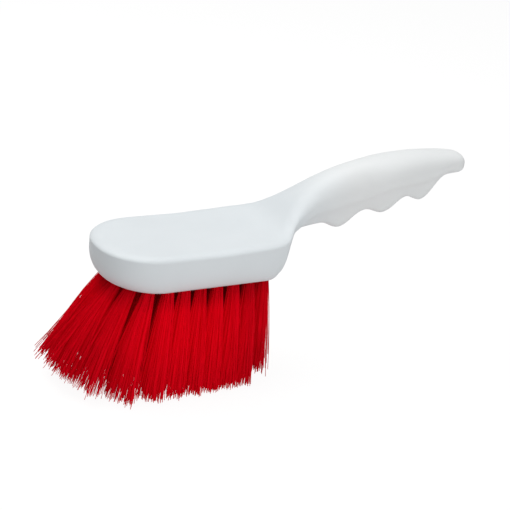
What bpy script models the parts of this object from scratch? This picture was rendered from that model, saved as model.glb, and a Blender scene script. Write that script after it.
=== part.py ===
"""Pot brush: a white moulded stock (block and handle in one) set with red filament tufts.

Metres, +Z up. Drawing frame: x = 0 at the rear shoulder of the block, the nose towards -X, the
handle towards +X, z = 0 on the underside of the block. At the end everything moves together, so
that the brush stands on its trimmed tips with the centre of its footprint at the origin.
"""

import math

import bmesh
import bpy
import numpy as np
from mathutils import Matrix, Vector

GAP = 0.0003  # clearance between a tuft and the walls of its hole

# Block, in plan
BLOCK_LENGTH = 0.1092
BLOCK_HALF_WIDTH = 0.0328
BLOCK_HEIGHT = 0.0233
NOSE_LENGTH = 0.0331  # how much of the block's length is rounded nose
NOSE_POWER = 2.15  # 2 is an ellipse, more is squarer

# Block, in section
TOP_EDGE = 0.0022  # height of the rounding of the top edge
TOP_EDGE_WIDTH = ((-0.085, 0.0030), (-0.050, 0.0052), (-0.012, 0.0075))  # its width, over x
TAPER_IN = 0.0072  # how far the wall draws in towards the underside
TAPER_UP = 0.0158  # height over which it does so
TAPER_SHARE = 0.9  # the most of the wall's height that the taper takes where the wall is low
NOSE_TAPER = 1.5  # the nose draws in this many times more
UNDERSIDE_POWER = 1.85  # as NOSE_POWER, for the outline of the underside

# Rear of the block and the neck
FLAT_TOP_END = -0.0450  # ahead of this x the top is flat
CORNER_LENGTH = 0.0170  # convex corner in plan, ahead of x = 0
SHOULDER_LENGTH = 0.0190  # concave sweep in plan, from x = 0 to the neck
NECK_HALF_WIDTH = 0.0157
# How the side runs in from the block to the neck, as x and share of the way
SIDE_SWEEP = (
    (-CORNER_LENGTH, 0.0),
    (-0.010, 0.018),
    (-0.006, 0.065),
    (-0.003, 0.130),
    (0.000, 0.245),
    (0.003, 0.444),
    (0.006, 0.637),
    (0.010, 0.795),
    (0.014, 0.910),
    (SHOULDER_LENGTH, 1.0),
)
UNDERSIDE_END = -0.0055  # behind this x the underside curves up the rear wall
UNDERSIDE_CORNER = 0.0072  # rounding, in plan, of the underside's rear corners
REAR_WALL_TOP = 0.0145  # height at which the rear wall turns into the neck
NECK_SWEEP = 0.0118
NECK_UNDERSIDE = 0.0216
EDGE_FROM = -0.0123  # from here the rounding of the top edge grows higher
BLEND_FROM = -0.0075  # from here the underside's rounding grows too
OVAL_FROM = 0.0265  # and from here on both make an oval
OVAL_UNDER = 0.5  # share of the oval's height that lies below its widest line
OVAL_FLAT = 0.06  # share of its width that stays level at its top and its bottom

# Handle, as x, half-width, top, valley line of the underside, and the height of the keel under it
HANDLE_LENGTH = 0.1408
HANDLE_STATIONS = (
    (0.030, 0.0137, 0.0496, 0.0242, 0.0052),
    (0.055, 0.0135, 0.0584, 0.0282, 0.0050),
    (0.080, 0.0152, 0.0624, 0.0345, 0.0067),
    (0.105, 0.0132, 0.0642, 0.0391, 0.0046),
    (0.126, 0.0112, 0.0633, 0.0494, 0.0008),
    (HANDLE_LENGTH, 0.0088, 0.0614, 0.0499, 0.0),
)
UNDER_POWER = 3.0  # as NOSE_POWER, for the lower half of the handle's section
KEEL_FROM = 0.90  # the keel starts at this share of the handle's half width
KEEL_FULL = 0.62  # and is at its full height at this one
# Rise of the top from the flat to the neck, as x and height over the block's top
TOP_SWEEP = (
    (-0.030, 0.0008),
    (-0.018, 0.0013),
    (-0.008, 0.0022),
    (0.000, 0.0047),
    (0.006, 0.0094),
    (0.014, 0.0161),
)
BUMP_CENTRES = (0.0472, 0.0783, 0.1084)  # ridges between the fingers
BUMP_DEPTH = 0.0061
BUMP_WIDTH = 0.0300
TIP_ROUND = 0.0070

# Tufts
TRIM_DEPTH = 0.0598  # from the underside of the block down to the trimmed face
FILAMENT_LENGTH = 0.0622  # a tuft that leans far ends at this length instead
TUFT_PITCH = 0.0103  # along the outer row
ROWS_PER_SIDE = 3  # rows between the middle of the block and its edge, the outer one included
SEAT_SPACING = 0.0086  # least distance between two seats
SEAT_MARGIN = 0.0032  # from the edge of the underside to a seat's centre
SIDE_ROW_END = -0.0222  # rearmost seat of the straight side rows
NOSE_SEATS = 6  # seats of the outer row round the nose
REAR_SEATS = 4  # seats of the row that closes the outer row at the rear
REAR_ROW_HALF_WIDTH = 0.0165
PLUG_RADIUS = 0.0027
PLUG_SIDES = 9
PLUG_PROUD = 0.0006
HOLE_DEPTH = 0.0095
SIDE_LEAN = 12.0  # degrees, at the outer rows
# Lean of a tuft towards the handle, degrees: over its seat's distance from the tip of the nose
NOSE_LEAN = ((0.0142, -40.0), (0.0222, -25.0), (0.0312, -14.0), (0.0472, -7.5))
# and, at the rear of the block, over its seat's x
REAR_LEAN = ((-0.0225, -4.0), (-0.0087, -3.0))
STRAND_THICKNESS = 0.55  # share of its wedge of the plug that a strand takes up
TIP_SPREAD = 1.9  # a tuft is this many times wider at its tips than at its root

# Fineness of the loft
NOSE_STATIONS = 13
FLAT_STATIONS = 4
CORNER_STATIONS = 7
SHOULDER_STATIONS = 7
HANDLE_SPANS = 32
TIP_STATIONS = 6
ARC_COUNT = 5
UNDER_COUNT = 2
CROWN_COUNT = 4


def clear_scene():
    for obj in list(bpy.data.objects):
        bpy.data.objects.remove(obj, do_unlink=True)


def new_collection(name, hidden=False):
    collection = bpy.data.collections.new(name)
    collection.hide_render = hidden
    bpy.context.scene.collection.children.link(collection)
    return collection


def new_material(name, colour, roughness):
    material = bpy.data.materials.new(name)
    material.use_nodes = True
    shader = material.node_tree.nodes["Principled BSDF"]
    shader.inputs["Base Color"].default_value = (*colour, 1.0)
    shader.inputs["Roughness"].default_value = roughness
    shader.inputs["Metallic"].default_value = 0.0
    return material


def smooth_curve(x, knots_x, knots_y):
    """Monotone cubic through the knots, so that no profile overshoots its stations."""
    steps = np.diff(knots_x)
    slopes = np.diff(knots_y) / steps
    tangents = np.zeros(len(knots_x))
    tangents[0] = slopes[0]
    tangents[-1] = slopes[-1]
    for k in range(1, len(knots_x) - 1):
        if slopes[k - 1] * slopes[k] > 0:
            near = 2 * steps[k] + steps[k - 1]
            far = steps[k] + 2 * steps[k - 1]
            tangents[k] = (near + far) / (near / slopes[k - 1] + far / slopes[k])
    x = np.clip(x, knots_x[0], knots_x[-1])
    i = np.clip(np.searchsorted(knots_x, x, side="right") - 1, 0, len(steps) - 1)
    h = steps[i]
    t = (x - np.take(knots_x, i)) / h
    start, end = np.take(knots_y, i), np.take(knots_y, i + 1)
    bend = t * (1 - t) ** 2 * h * tangents[i] - t * t * (1 - t) * h * tangents[i + 1]
    return (1 + 2 * t) * (1 - t) ** 2 * start + t * t * (3 - 2 * t) * end + bend


def ease(t):
    t = np.clip(t, 0.0, 1.0)
    return t * t * (3 - 2 * t)


def quarter(t):
    """Height of a quarter circle of radius 1 at distance t from its low end."""
    return np.sqrt(np.clip(1 - (1 - np.clip(t, 0.0, 1.0)) ** 2, 0.0, 1.0))


def edge_width(x):
    """How far the rounding of the top edge reaches in from the wall."""
    widths = np.array(TOP_EDGE_WIDTH)
    return float(smooth_curve(x, widths[:, 0], widths[:, 1]))


def nose_section(x):
    """Half of the section at x, from the middle of the underside to the middle of the top."""
    depth = x + BLOCK_LENGTH
    draw = TAPER_IN * NOSE_TAPER
    low_start = 0.0 if depth >= draw else math.asin(1 - depth / draw)
    edge_in = edge_width(x)
    rounded = edge_in * NOSE_TAPER
    top_end = math.pi / 2 if depth >= rounded else math.acos(1 - depth / rounded)
    low = np.linspace(low_start, math.pi / 2, ARC_COUNT + 1)
    top = np.linspace(0.0, top_end, ARC_COUNT + 1)
    inset = np.r_[TAPER_IN * (1 - np.sin(low)), edge_in * (1 - np.cos(top))]
    z = np.r_[TAPER_UP * (1 - np.cos(low)), BLOCK_HEIGHT - TOP_EDGE * (1 - np.sin(top))]
    power = np.full(len(inset), NOSE_POWER)
    power[: ARC_COUNT + 1] += (UNDERSIDE_POWER - NOSE_POWER) * (1 - np.sin(low))
    nose = NOSE_LENGTH - inset * NOSE_TAPER
    along = np.clip((NOSE_LENGTH - depth) / nose, 0.0, 1.0) ** power
    y = (BLOCK_HALF_WIDTH - inset) * np.clip(1 - along, 0.0, 1.0) ** (1 / power)
    return with_flats(y, z)


def with_flats(y, z):
    """Adds the flat underside and top to the curved wall of a half section."""
    under = y[0] * np.arange(UNDER_COUNT) / UNDER_COUNT
    over = y[-1] * np.arange(CROWN_COUNT)[::-1] / CROWN_COUNT
    y = np.r_[under, y, over]
    z = np.r_[np.full(UNDER_COUNT, z[0]), z, np.full(CROWN_COUNT, z[-1])]
    return np.c_[y, z]


def half_width(x):
    """Half width behind the nose: the block's side, the sweep to the neck and the handle."""
    sweep = np.array(SIDE_SWEEP)
    stations = np.array(HANDLE_STATIONS)
    swept = BLOCK_HALF_WIDTH + (NECK_HALF_WIDTH - BLOCK_HALF_WIDTH) * sweep[:, 1]
    knots_x = np.r_[-BLOCK_LENGTH, sweep[:, 0], stations[:, 0]]
    return smooth_curve(x, knots_x, np.r_[BLOCK_HALF_WIDTH, swept, stations[:, 1]])


def top_height(x):
    """Height of the top along the middle: level along the block, then the sweep and the handle."""
    sweep = np.array(TOP_SWEEP)
    stations = np.array(HANDLE_STATIONS)
    knots_x = np.r_[-BLOCK_LENGTH, FLAT_TOP_END, sweep[:, 0], stations[:, 0]]
    knots_z = np.r_[0.0, 0.0, sweep[:, 1], stations[:, 2] - BLOCK_HEIGHT] + BLOCK_HEIGHT
    return smooth_curve(x, knots_x, knots_z)


def underside_height(x):
    """Height of the underside's middle: the rear wall, the neck and the handle's valley line."""
    stations = np.array(HANDLE_STATIONS)
    knots_x = np.r_[0.0, NECK_SWEEP, stations[:, 0]]
    knots_z = np.r_[NECK_UNDERSIDE, NECK_UNDERSIDE, stations[:, 3]]
    if x <= 0:
        z = REAR_WALL_TOP * (1 - quarter(x / UNDERSIDE_END))
    elif x < NECK_SWEEP:
        z = NECK_UNDERSIDE - (NECK_UNDERSIDE - REAR_WALL_TOP) * (1 - quarter(x / NECK_SWEEP))
    else:
        z = smooth_curve(x, knots_x, knots_z)
    return z


def keel_height(x):
    """Height of the keel under the handle's body, down to the valley line."""
    stations = np.array(HANDLE_STATIONS)
    return smooth_curve(x, np.r_[NECK_SWEEP, stations[:, 0]], np.r_[0.0, stations[:, 4]])


def ridge_height(x):
    """How far the ridges that part the fingers stand below the valley line."""
    away = np.clip(abs(x - np.array(BUMP_CENTRES)) / (BUMP_WIDTH / 2), 0.0, 1.0)
    return BUMP_DEPTH * float(np.sum(0.5 + 0.5 * np.cos(math.pi * away)))


def underside_half_width(x):
    corner = 1 - quarter((UNDERSIDE_END - x) / UNDERSIDE_CORNER)
    return BLOCK_HALF_WIDTH - TAPER_IN - UNDERSIDE_CORNER * corner


def rear_section(x):
    """Half section behind the flat top. The roundings of the block grow into the handle's oval."""
    wide, top, keel = half_width(x), top_height(x), keel_height(x)
    under = underside_height(x) + keel
    middle = under + OVAL_UNDER * (top - under)
    across = wide * (1 - OVAL_FLAT)
    over = ease((x - EDGE_FROM) / (OVAL_FROM - EDGE_FROM))
    edge_in = edge_width(x) + (across - edge_width(x)) * over
    edge_down = TOP_EDGE + (top - middle - TOP_EDGE) * over
    below = ease((x - BLEND_FROM) / (OVAL_FROM - BLEND_FROM))
    block_in = wide - underside_half_width(x)
    block_up = min(TAPER_UP, TAPER_SHARE * (top - edge_down - under))
    taper_in = block_in + (across - block_in) * below
    taper_up = block_up + (TAPER_SHARE * (middle - under) - block_up) * below
    angle = np.linspace(0.0, math.pi / 2, ARC_COUNT + 1)
    square = 2 / (2 + (UNDER_POWER - 2) * below)
    inset = taper_in * (1 - np.sin(angle) ** square)
    inset = np.r_[inset, edge_in * (1 - np.cos(angle))]
    low = under + taper_up * (1 - np.abs(np.cos(angle)) ** square)
    half = with_flats(wide - inset, np.r_[low, top - edge_down * (1 - np.sin(angle))])
    lower = half[: UNDER_COUNT + ARC_COUNT + 1]
    inward = (KEEL_FROM - lower[:, 0] / wide) / (KEEL_FROM - KEEL_FULL)
    lower[:, 1] -= (keel + ridge_height(x)) * ease(inward)
    tip = math.sqrt(max(1 - max((x - HANDLE_LENGTH) / TIP_ROUND + 1, 0.0) ** 2, 0.0))
    return np.c_[half[:, 0] * tip, middle + (half[:, 1] - middle) * tip]


def station_positions():
    """Where the stock is cut into sections: close together where its outline turns fast."""
    turn = np.linspace(0.0, math.pi / 2, NOSE_STATIONS + 1)[1:]
    nose = -BLOCK_LENGTH + NOSE_LENGTH * (1 - np.cos(turn))
    flat = np.linspace(nose[-1], FLAT_TOP_END, FLAT_STATIONS + 1)[1:]
    sweep = np.linspace(FLAT_TOP_END, -CORNER_LENGTH, FLAT_STATIONS + 2)[1:-1]
    turn = np.linspace(0.0, math.pi / 2, CORNER_STATIONS + 1)
    corner = -CORNER_LENGTH * (1 - np.sin(turn))
    turn = np.linspace(0.0, math.pi / 2, SHOULDER_STATIONS + 1)[1:]
    shoulder = SHOULDER_LENGTH * (1 - np.cos(turn))
    handle = np.linspace(SHOULDER_LENGTH, HANDLE_LENGTH - TIP_ROUND, HANDLE_SPANS + 1)[1:]
    turn = np.linspace(0.0, math.pi / 2, TIP_STATIONS + 1)[1:-1]
    tip = HANDLE_LENGTH - TIP_ROUND * (1 - np.sin(turn))
    return np.r_[nose, flat, sweep, corner, shoulder, handle, tip]


def closed_ring(x):
    half = nose_section(x) if x < FLAT_TOP_END else rear_section(x)
    far = half[1:-1][::-1] * (-1, 1)
    section = np.vstack([half, far])
    return np.c_[np.full(len(section), x), section]


def loft(rings, first_point, last_point):
    """Closed mesh through the rings, ended in a point at either end."""
    count = len(rings[0])
    points = [first_point, *np.vstack(rings).tolist(), last_point]
    faces = []
    for k in range(count):
        after = (k + 1) % count
        faces.append((0, 1 + after, 1 + k))
        for r in range(len(rings) - 1):
            a, b = 1 + r * count, 1 + (r + 1) * count
            faces.append((a + k, a + after, b + after, b + k))
        end = 1 + (len(rings) - 1) * count
        faces.append((end + k, end + after, len(points) - 1))
    mesh = bpy.data.meshes.new("loft")
    mesh.from_pydata(points, [], faces)
    return mesh


def flatten_faces(mesh, height):
    """Makes one face of all those that lie at this height."""
    bm = bmesh.new()
    bm.from_mesh(mesh)
    bmesh.ops.recalc_face_normals(bm, faces=bm.faces)
    flat = [f for f in bm.faces if all(abs(v.co.z - height) < 1e-7 for v in f.verts)]
    bmesh.ops.dissolve_faces(bm, faces=flat, use_verts=True)
    bm.to_mesh(mesh)
    bm.free()


def make_stock(collection, cutters, material):
    rings = [closed_ring(x) for x in station_positions()]
    nose_z = (TAPER_UP + BLOCK_HEIGHT - TOP_EDGE) / 2
    tip_z = (top_height(HANDLE_LENGTH) + underside_height(HANDLE_LENGTH)) / 2
    mesh = loft(rings, (-BLOCK_LENGTH, 0.0, nose_z), (HANDLE_LENGTH, 0.0, float(tip_z)))
    flatten_faces(mesh, 0.0)
    flatten_faces(mesh, BLOCK_HEIGHT)
    mesh.name = "stock"
    mesh.materials.append(material)
    stock = bpy.data.objects.new("stock", mesh)
    collection.objects.link(stock)
    cut = stock.modifiers.new("tuft holes", "BOOLEAN")
    cut.operation = "DIFFERENCE"
    cut.solver = "EXACT"
    cut.object = cutters
    return stock


def seat_outline():
    """Where the outer row of seats runs: its y, its rearmost x, and its half oval round the nose."""
    edge = BLOCK_HALF_WIDTH - TAPER_IN - SEAT_MARGIN
    rear = UNDERSIDE_END - SEAT_MARGIN
    nose_centre = -BLOCK_LENGTH + NOSE_LENGTH
    nose_reach = NOSE_LENGTH - TAPER_IN * NOSE_TAPER - SEAT_MARGIN
    return edge, rear, nose_centre, nose_reach


def outer_seats():
    """Seats of the outer row: the two sides, round the nose, and across the rear."""
    edge, rear, nose_centre, nose_reach = seat_outline()
    per_side = int((SIDE_ROW_END - nose_centre) / TUFT_PITCH)
    side = [(SIDE_ROW_END - k * TUFT_PITCH, -edge) for k in range(per_side + 1)]
    nose = []
    for k in range(NOSE_SEATS):
        angle = math.pi * (k + 1) / (NOSE_SEATS + 1)
        ahead = nose_reach * math.sin(angle) ** (2 / UNDERSIDE_POWER)
        aside = math.copysign(abs(math.cos(angle)) ** (2 / UNDERSIDE_POWER), -math.cos(angle))
        nose.append((nose_centre - ahead, edge * aside))
    across = np.linspace(REAR_ROW_HALF_WIDTH, -REAR_ROW_HALF_WIDTH, REAR_SEATS)
    back = [(rear, float(y)) for y in across]
    return side + nose + [(x, -y) for x, y in side[::-1]] + back


def inside_outer_row(x, y):
    edge, _, nose_centre, nose_reach = seat_outline()
    ahead = max(nose_centre - x, 0.0) / nose_reach
    return math.hypot(ahead, y / edge) < 1.0


def inner_seats(taken):
    """Staggered rows inside the outer one, as far as each seat keeps its distance."""
    edge = seat_outline()[0]
    row_pitch = edge / (ROWS_PER_SIDE - 0.5)
    seats = []
    for row in range(ROWS_PER_SIDE - 1, 0, -1):
        y = row_pitch * (row - 0.5)
        shift = TUFT_PITCH / 2 if (ROWS_PER_SIDE - row) % 2 else 0.0
        for k in range(int(BLOCK_LENGTH / TUFT_PITCH)):
            x = SIDE_ROW_END + TUFT_PITCH - shift - k * TUFT_PITCH
            clear = all(math.hypot(x - a, y - abs(b)) >= SEAT_SPACING for a, b in taken + seats)
            if clear and inside_outer_row(x, y):
                seats += [(x, -y), (x, y)]
    return seats


def tuft_axis(x, y):
    """Unit direction of a tuft, down and out of its hole."""
    edge = seat_outline()[0]
    nose, rear = np.array(NOSE_LEAN), np.array(REAR_LEAN)
    knots_x = np.r_[nose[:, 0] - BLOCK_LENGTH, rear[:, 0]]
    lean = smooth_curve(x, knots_x, np.r_[nose[:, 1], rear[:, 1]])
    forward = math.radians(float(lean))
    sideways = math.radians(SIDE_LEAN) * y / edge
    return Vector((math.tan(forward), math.tan(sideways), -1.0)).normalized()


def tuft_frame(x, y):
    """Placement of a tuft: its own +Z runs along the filaments, its origin is its seat."""
    turn = Vector((0.0, 0.0, 1.0)).rotation_difference(tuft_axis(x, y))
    return Matrix.Translation((x, y, 0.0)) @ turn.to_matrix().to_4x4()


def hole_radius():
    return PLUG_RADIUS + GAP / math.cos(math.pi / PLUG_SIDES)


def make_hole_cutters(collection, seats):
    """One mesh that holds the drill shape of every hole."""
    bm = bmesh.new()
    overshoot = 2 * PLUG_RADIUS
    for x, y in seats:
        made = bmesh.ops.create_cone(
            bm,
            cap_ends=True,
            segments=PLUG_SIDES,
            radius1=hole_radius(),
            radius2=hole_radius(),
            depth=HOLE_DEPTH + overshoot,
        )
        middle = Matrix.Translation((0.0, 0.0, (overshoot - HOLE_DEPTH) / 2))
        bmesh.ops.transform(bm, matrix=tuft_frame(x, y) @ middle, verts=made["verts"])
    bmesh.ops.recalc_face_normals(bm, faces=bm.faces)
    mesh = bpy.data.meshes.new("tuft_hole_cutters")
    bm.to_mesh(mesh)
    bm.free()
    cutters = bpy.data.objects.new("tuft_hole_cutters", mesh)
    cutters.hide_render = True
    cutters.display_type = "WIRE"
    collection.objects.link(cutters)
    return cutters


def tip_corner(begin, aim, full_depth):
    """End of a strand's edge: on the trimmed face, or short of it where the tuft leans too far."""
    share = (-TRIM_DEPTH - begin.z) / (aim.z - begin.z)
    return begin + (aim - begin) * (share if full_depth else min(share, 1.0))


def make_tuft_mesh(frame, material):
    """A plug that fills the hole, and nine three-sided strands fanning out of its lower end."""
    bm = bmesh.new()
    made = bmesh.ops.create_circle(
        bm, cap_ends=True, cap_tris=True, segments=PLUG_SIDES, radius=PLUG_RADIUS
    )
    bmesh.ops.translate(bm, vec=(0.0, 0.0, PLUG_PROUD), verts=made["verts"])
    wedges = list(bm.faces)
    rim = [e for e in bm.edges if e.is_boundary]
    shell = bmesh.ops.extrude_edge_only(bm, edges=rim)["geom"]
    for v in shell:
        if isinstance(v, bmesh.types.BMVert):
            v.co.z = GAP - HOLE_DEPTH
    bmesh.ops.contextual_create(bm, geom=[e for e in bm.edges if e.is_boundary])
    thickness = PLUG_RADIUS * (1 - STRAND_THICKNESS) / 4
    bmesh.ops.inset_individual(bm, faces=wedges, thickness=thickness)
    reach = TRIM_DEPTH / -tuft_axis(*frame.translation.xy).z
    full_depth = reach < FILAMENT_LENGTH
    for tip in bmesh.ops.extrude_discrete_faces(bm, faces=wedges)["faces"]:
        for v in tip.verts:
            spread = v.co.xy * TIP_SPREAD
            aim = frame @ Vector((*spread, min(reach, FILAMENT_LENGTH)))
            v.co = frame.inverted() @ tip_corner(frame @ v.co, aim, full_depth)
    bmesh.ops.recalc_face_normals(bm, faces=bm.faces)
    mesh = bpy.data.meshes.new("tuft")
    bm.to_mesh(mesh)
    bm.free()
    mesh.materials.append(material)
    return mesh


def make_tufts(collection, seats, material):
    tufts = []
    for number, (x, y) in enumerate(seats, 1):
        frame = tuft_frame(x, y)
        tuft = bpy.data.objects.new(f"tuft_{number:02d}", make_tuft_mesh(frame, material))
        tuft.matrix_world = frame
        collection.objects.link(tuft)
        tufts.append(tuft)
    return tufts


def shade_smooth(stock):
    for polygon in stock.data.polygons:
        polygon.use_smooth = len(polygon.vertices) <= 4


def bounds(objects):
    points = np.array([o.matrix_world @ v.co for o in objects for v in o.data.vertices])
    return points.min(axis=0), points.max(axis=0)


def stand_on_origin(objects, cutters):
    """Moves the brush so that it stands on z = 0 with the middle of its box over the origin."""
    low, high = bounds(objects)
    move = Vector((-(low[0] + high[0]) / 2, -(low[1] + high[1]) / 2, -low[2]))
    for obj in [*objects, cutters]:
        obj.matrix_world = Matrix.Translation(move) @ obj.matrix_world
    return move


def main():
    clear_scene()
    parts = new_collection("pot_brush")
    helpers = new_collection("cutters", hidden=True)
    plastic = new_material("white_polypropylene", (0.76, 0.79, 0.81), 0.35)
    filament = new_material("red_filament", (0.55, 0.0, 0.008), 0.45)
    outer = outer_seats()
    seats = outer + inner_seats(outer)
    cutters = make_hole_cutters(helpers, seats)
    stock = make_stock(parts, cutters, plastic)
    shade_smooth(stock)
    tufts = make_tufts(parts, seats, filament)
    bpy.context.view_layer.update()
    move = stand_on_origin([stock, *tufts], cutters)
    print(len(outer), "outer seats,", len(seats), "tufts,", len(seats) * PLUG_SIDES, "strands")
    print("drawing frame moved by", [round(v, 5) for v in move])


main()
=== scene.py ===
# %% [markdown]
# # A pot brush
#
# A stiff scrubbing brush for pots and drains: one white moulding, which is block and
# handle together, set with rows of red filament tufts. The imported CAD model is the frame.
# Nothing in it is moved. This notebook builds a finer moulding over the CAD one and fills
# every CAD tuft with single filaments, so that both can be seen from close by.

import math

import bmesh
import bpy
import numpy as np
from mathutils import Matrix, Vector


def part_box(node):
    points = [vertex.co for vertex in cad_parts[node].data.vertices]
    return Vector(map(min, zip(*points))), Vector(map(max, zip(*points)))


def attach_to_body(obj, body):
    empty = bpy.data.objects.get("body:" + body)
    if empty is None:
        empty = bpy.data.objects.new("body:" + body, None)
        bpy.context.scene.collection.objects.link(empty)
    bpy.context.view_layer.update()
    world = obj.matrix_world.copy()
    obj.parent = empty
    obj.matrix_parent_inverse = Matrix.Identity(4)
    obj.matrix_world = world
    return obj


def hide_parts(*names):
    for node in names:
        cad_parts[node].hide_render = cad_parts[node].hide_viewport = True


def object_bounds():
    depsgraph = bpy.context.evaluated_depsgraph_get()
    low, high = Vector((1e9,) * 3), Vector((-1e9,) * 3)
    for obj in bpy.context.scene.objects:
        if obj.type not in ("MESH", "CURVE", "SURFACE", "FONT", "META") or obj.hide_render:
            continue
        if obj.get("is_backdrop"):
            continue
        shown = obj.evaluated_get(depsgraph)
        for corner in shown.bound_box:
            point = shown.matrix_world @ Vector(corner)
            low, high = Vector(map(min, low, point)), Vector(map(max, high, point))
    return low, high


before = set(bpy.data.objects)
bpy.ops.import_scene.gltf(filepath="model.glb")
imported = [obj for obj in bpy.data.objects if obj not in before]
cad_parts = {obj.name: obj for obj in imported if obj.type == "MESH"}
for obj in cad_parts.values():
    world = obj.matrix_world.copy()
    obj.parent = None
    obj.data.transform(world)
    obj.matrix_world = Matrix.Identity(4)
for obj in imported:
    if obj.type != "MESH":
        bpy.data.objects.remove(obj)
cad_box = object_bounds()
tuft_nodes = sorted(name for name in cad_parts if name.startswith("tuft_"))
print("CAD box", [[round(v, 4) for v in corner] for corner in cad_box])

# %% [markdown]
# ## Where the drawing starts
#
# The brush was drawn with z = 0 on the underside of the block and x = 0 at the rear
# shoulder of the block, with the nose towards -X. The CAD model was then moved so that it
# stands on its bristle tips. The box of the stock node says by how much, so all the
# lengths below can be written as a maker would measure them on the block itself.

# %% Drawing origin
BLOCK_LENGTH = 0.1092  # from the rear shoulder to the tip of the nose
TRIM_DEPTH = 0.0598  # from the underside of the block to the trimmed bristle tips

stock_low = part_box("stock")[0]
origin = Vector((stock_low[0] + BLOCK_LENGTH, 0.0, TRIM_DEPTH))
print("drawing origin in the row frame", [round(v, 5) for v in origin])

# %% [markdown]
# ## Camera
#
# A product photograph of a hand-sized object is taken from about two thirds of a metre with
# a short telephoto lens, which keeps the far side of the block nearly as wide as the near
# one. The camera stands at the nose end, looks down by a quarter of a right angle and is
# rolled a little, so that the top of the block climbs towards the handle. A rotation
# written as its three axes avoids a chain of Euler angles.

# %% Camera
AZIMUTH = math.radians(32.3949)
ELEVATION = math.radians(22.8195)
ROLL = math.radians(-7.4224)
LENS = 80.199  # mm
SENSOR = 36.0  # mm, the width of the sensor
STAND = Vector((-0.34107, -0.52906, 0.26791))  # from the drawing origin

back = Vector(
    (
        -math.sin(AZIMUTH) * math.cos(ELEVATION),
        -math.cos(AZIMUTH) * math.cos(ELEVATION),
        math.sin(ELEVATION),
    )
)
level = Vector((math.cos(AZIMUTH), -math.sin(AZIMUTH), 0.0))
upright = back.cross(level)
right = level * math.cos(ROLL) - upright * math.sin(ROLL)
up = level * math.sin(ROLL) + upright * math.cos(ROLL)

camera = bpy.data.objects.new("camera", bpy.data.cameras.new("camera"))
camera.data.sensor_width = SENSOR
camera.data.lens = LENS
turned = Matrix((right, up, back)).transposed().to_4x4()
camera.matrix_world = Matrix.Translation(origin + STAND) @ turned
bpy.context.scene.collection.objects.link(camera)
bpy.context.scene.camera = camera
print("camera", [round(v, 3) for v in camera.location], "lens", LENS)

# %% [markdown]
# ## A small language for node trees
#
# Shader and geometry trees are easier to read as sums than as dozens of links. A Wire wraps
# one output socket, and arithmetic on it adds Math nodes. Everything else, such as a noise
# texture or an instancing node, goes through one method that takes the node's type, its
# settings and its inputs.


# %% Wires and recipes
class Wire:
    """One output socket, which can be added, subtracted, multiplied and divided."""

    def __init__(self, recipe, socket):
        self.recipe = recipe
        self.socket = socket

    def __add__(self, other):
        return self.recipe.maths("ADD", self, other)

    def __sub__(self, other):
        return self.recipe.maths("SUBTRACT", self, other)

    def __rsub__(self, other):
        return self.recipe.maths("SUBTRACT", other, self)

    def __mul__(self, other):
        return self.recipe.maths("MULTIPLY", self, other)

    def __truediv__(self, other):
        return self.recipe.maths("DIVIDE", self, other)

    __radd__ = __add__
    __rmul__ = __mul__


class Recipe:
    """Adds nodes to a tree. Inputs are given by name or number, as values or as wires."""

    def __init__(self, tree):
        self.tree = tree

    def node(self, kind, settings=None, inputs=None, output=0):
        made = self.tree.nodes.new(kind)
        for name, value in (settings or {}).items():
            setattr(made, name, value)
        for key, value in (inputs or {}).items():
            if isinstance(value, Wire):
                self.tree.links.new(value.socket, made.inputs[key])
            else:
                made.inputs[key].default_value = value
        return Wire(self, made.outputs[output])

    def maths(self, operation, *values):
        inputs = dict(enumerate(values))
        return self.node("ShaderNodeMath", {"operation": operation}, inputs)

    def vectors(self, operation, *values):
        inputs = dict(enumerate(values))
        return self.node("ShaderNodeVectorMath", {"operation": operation}, inputs)


print("wires and recipes ready")

# %% [markdown]
# ## White moulded plastic
#
# The stock is polypropylene, filled to a cool milky white. Straight from the mould it has a
# satin surface: never mirror-like, with a very fine grain from the tool and slow, shallow
# hollows where thick plastic shrank as it cooled. The colour is nearly even, so its detail
# is in the roughness and in the bump. Colour clouds of a few centimetres and scuffs drawn
# out along the brush keep it from looking like a flat fill. The handle's white is painted a
# little lighter and warmer than the block's: painted light, for the light on the handle.

# %% White plastic
BLOCK_WHITES = ((0.730, 0.775, 0.800), (0.790, 0.835, 0.860))  # duller and brighter clouds
# Painted light: the handle's white is painted lighter than the block's, for the light that
# falls on the handle.
HANDLE_WHITES_PAINTED_LIGHTER = ((0.810, 0.830, 0.835), (0.870, 0.890, 0.895))
PAINTED_HANDLE_LIGHT_SPAN = (0.01, 0.05, 0.0, 1.0)  # x from and to, share of the handle's white there
CLOUDS = (34.0, 4.0)  # waves in each metre, and how much finer detail they hold
SCUFFS = (260.0, 6.0)
GRAIN = (1500.0, 2.0)
HOLLOWS = (55.0, 1.0)
DRAWN_OUT = (0.12, 1.0, 1.0)  # the scuffs run along X
SATIN = 0.42  # roughness of the smoothest spots
SCUFF_ROUGHNESS = 0.16
GRAIN_ROUGHNESS = 0.06
HOLLOW_RELIEF = 0.8  # shares of the relief
SCUFF_RELIEF = 0.10
GRAIN_RELIEF = 0.05
BUMP_STRENGTH = 0.35
BUMP_DEPTH = 0.0006
PLASTIC_IOR = 1.49
MILKINESS = 0.12  # share of the light that goes in and comes out again
LIGHT_REACH = 0.002  # how far it gets inside


def noise(recipe, place, scale, detail, stretch=None):
    """Noise over the object's own coordinates. Scale is in waves for each metre."""
    if stretch:
        place = recipe.node("ShaderNodeMapping", None, {"Vector": place, "Scale": stretch})
    inputs = {"Vector": place, "Scale": scale, "Detail": detail}
    return recipe.node("ShaderNodeTexNoise", None, inputs, "Fac")


def new_material(name):
    material = bpy.data.materials.new(name)
    material.use_nodes = True
    tree = material.node_tree
    return material, Recipe(tree), tree.nodes["Principled BSDF"]


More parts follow.
